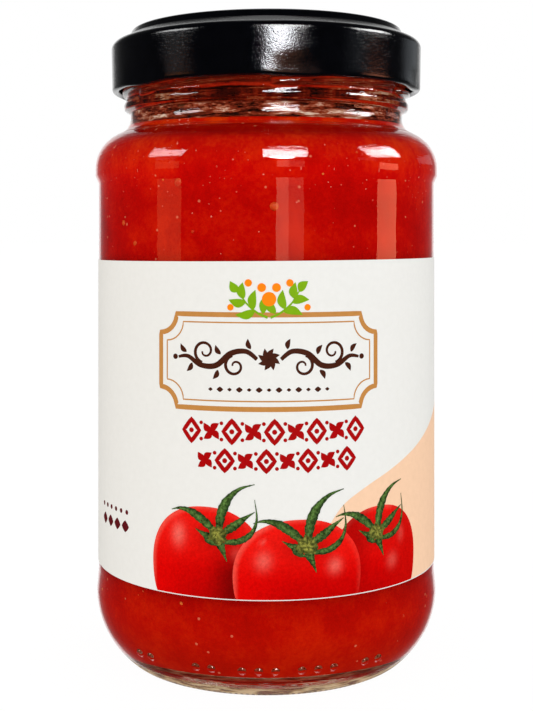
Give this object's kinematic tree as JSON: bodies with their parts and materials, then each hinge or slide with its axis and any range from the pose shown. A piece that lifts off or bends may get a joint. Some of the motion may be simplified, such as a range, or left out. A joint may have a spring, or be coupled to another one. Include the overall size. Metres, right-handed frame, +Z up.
{
  "type": "jar of cherry tomatoes in passata",
  "caption": "Round glass jar of cherry tomatoes in red passata with a wrap-round paper label and a black lug cap with a raised top ring.",
  "frame": {"origin": "centre of the ring that the jar stands on, at the bottom of the glass", "axes": "+Z up along the jar's axis, -Y towards the middle of the label's front"},
  "size_m": [0.0846, 0.0846, 0.153],
  "materials": {
    "glass": "clear soda-lime glass, glossy",
    "passata": "wet red tomato passata with fine pulp",
    "label_paper": "warm white coated paper, satin",
    "cap_lacquer": "black lacquered tinplate with fine orange-peel gloss"
  },
  "bodies": {
    "root": {"jar_glass": "glass", "tomato_passata": "passata", "label": "label_paper", "lid": "cap_lacquer"}
  },
  "joints": []
}
